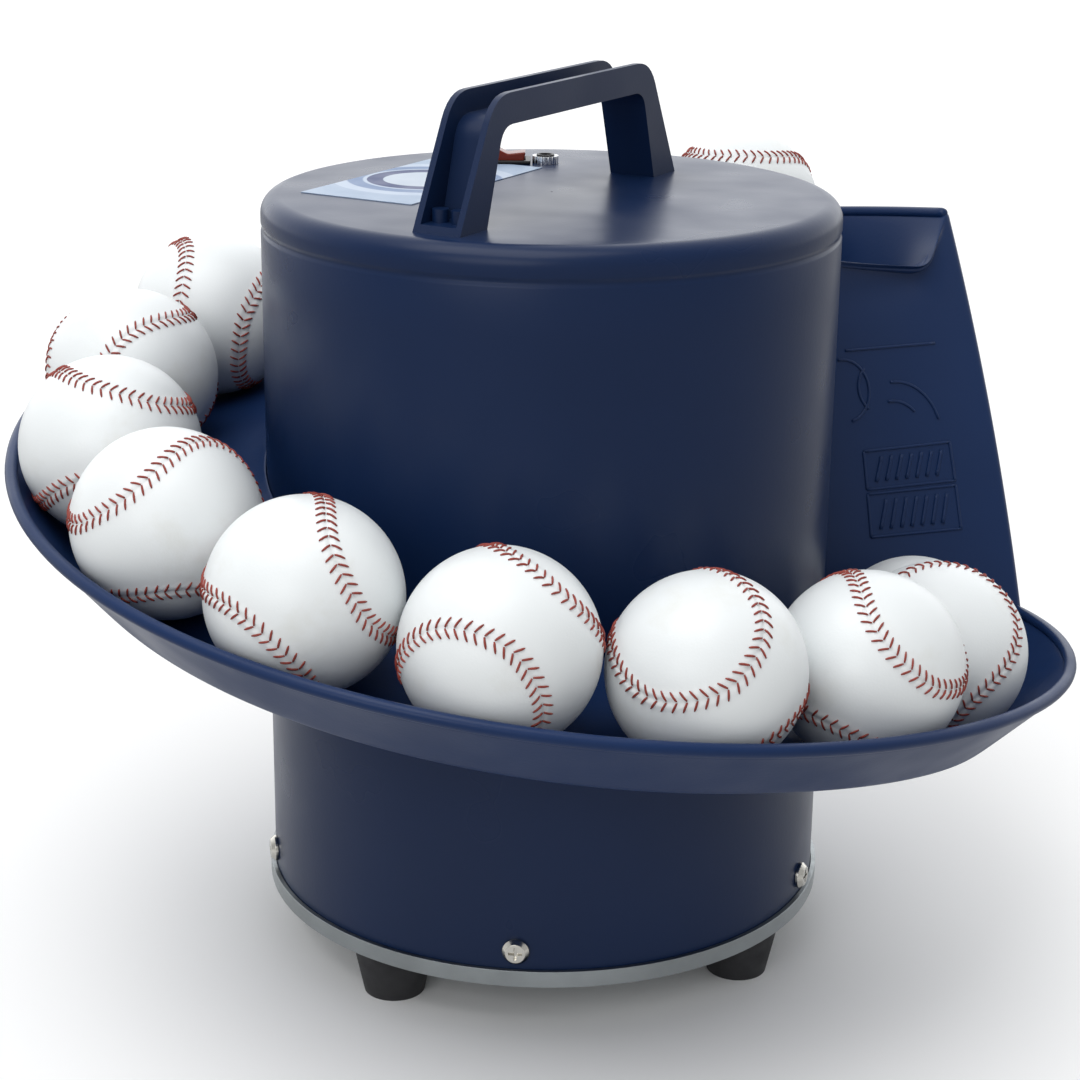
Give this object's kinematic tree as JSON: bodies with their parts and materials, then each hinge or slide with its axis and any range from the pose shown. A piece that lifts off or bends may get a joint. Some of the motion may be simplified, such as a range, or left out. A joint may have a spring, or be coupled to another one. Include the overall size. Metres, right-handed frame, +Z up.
{
  "type": "baseball toss machine",
  "caption": "Round drum with a spiral ball trough, a carry handle and a switch on top, feet below, and a cam-driven arm that tosses balls up from a pocket.",
  "frame": {"origin": "on the drum's axis at ground level, which is also the centre of the plan outline", "axes": "+Z up, -Y towards the front of the picture, +X towards the toss pocket"},
  "size_m": [0.448, 0.448, 0.3675],
  "materials": {
    "shell_plastic": "satin",
    "tray_plastic": "satin",
    "handle_plastic": "satin",
    "rivet_aluminium": "satin",
    "pan_steel": "satin",
    "bright_screw": "polished",
    "zinc_fastener": "satin",
    "foot_rubber": "matte",
    "label_film": "gloss",
    "black_plastic": "satin",
    "red_plastic": "gloss",
    "nut_chrome": "polished",
    "bracket_steel": "satin",
    "gearbox_paint": "satin",
    "motor_steel": "satin",
    "shaft_steel": "polished",
    "nylon": "matte",
    "black_oxide": "satin",
    "arm_aluminium": "satin",
    "bush_bronze": "satin",
    "cup_rubber": "matte",
    "spring_steel": "satin",
    "battery_case": "satin",
    "wire_sheath": "satin",
    "ball_leather": "satin"
  },
  "bodies": {
    "machine": {"drum_cover": "shell_plastic", "spiral_tray": "tray_plastic", "tray_rivets": "rivet_aluminium", "base_pan": "pan_steel", "cover_screws": "bright_screw", "rubber_feet": "foot_rubber", "foot_screws": "zinc_fastener", "foot_nuts": "zinc_fastener", "handle": "handle_plastic", "handle_screws": "zinc_fastener", "top_label": "label_film", "switch_housing": "black_plastic", "power_jack": "black_plastic", "jack_nut": "nut_chrome", "motor_bracket": "bracket_steel", "motor_screws": "zinc_fastener", "gearbox": "gearbox_paint", "motor": "motor_steel", "pivot_bracket": "bracket_steel", "bracket_screws": "zinc_fastener", "pivot_pin": "shaft_steel", "pivot_clip": "black_oxide", "toss_spring": "spring_steel", "spring_anchor": "bracket_steel", "bumper_post": "bracket_steel", "arm_bumper": "foot_rubber", "battery": "battery_case", "battery_strap": "bracket_steel", "strap_screws": "zinc_fastener", "wiring": "wire_sheath"},
    "cam": {"cam_shaft": "shaft_steel", "toss_cam": "nylon", "cam_setscrew": "black_oxide"},
    "arm": {"toss_arm": "arm_aluminium", "pivot_bushes": "bush_bronze", "toss_cup": "cup_rubber", "cup_screw": "zinc_fastener", "roller_pin": "shaft_steel", "spring_pin": "shaft_steel"},
    "roller": {"cam_roller": "nylon"},
    "rocker": {"switch_rocker": "red_plastic"},
    "tossed_ball": {"toss_ball": "ball_leather"},
    "queue": {"baseballs": "ball_leather"}
  },
  "joints": [
    {"name": "cam_turn", "type": "hinge", "parent": "machine", "child": "cam", "pos_m": [0.02, 0, 0.085], "axis": [0, -1, 0], "range_deg": [-300, 0]},
    {"name": "arm_swing", "type": "hinge", "parent": "machine", "child": "arm", "pos_m": [0.06198, 0, 0.12512], "axis": [0, -1, 0], "range_deg": [0, 50], "deforming": ["toss_spring"]},
    {"name": "roller_spin", "type": "hinge", "parent": "arm", "child": "roller", "pos_m": [0.02153, 0, 0.14485], "axis": [0, -1, 0], "continuous": true},
    {"name": "rocker_tip", "type": "hinge", "parent": "machine", "child": "rocker", "pos_m": [-0.02, 0.074, 0.3197], "axis": [0, 1, 0], "range_deg": [-20, 0]},
    {"name": "ball_toss", "type": "slide", "parent": "machine", "child": "tossed_ball", "axis": [0, 0.1564, 0.9877], "range_m": [0, 0.2]},
    {"name": "balls_lift", "type": "slide", "parent": "machine", "child": "queue", "axis": [0, 0, 1], "range_m": [0, 0.2]}
  ],
  "couplings": [
    {"joint": "arm_swing", "follows": "cam_turn", "ratio": -0.16667},
    {"joint": "ball_toss", "follows": "cam_turn", "m_per_rad": -0.038197}
  ]
}
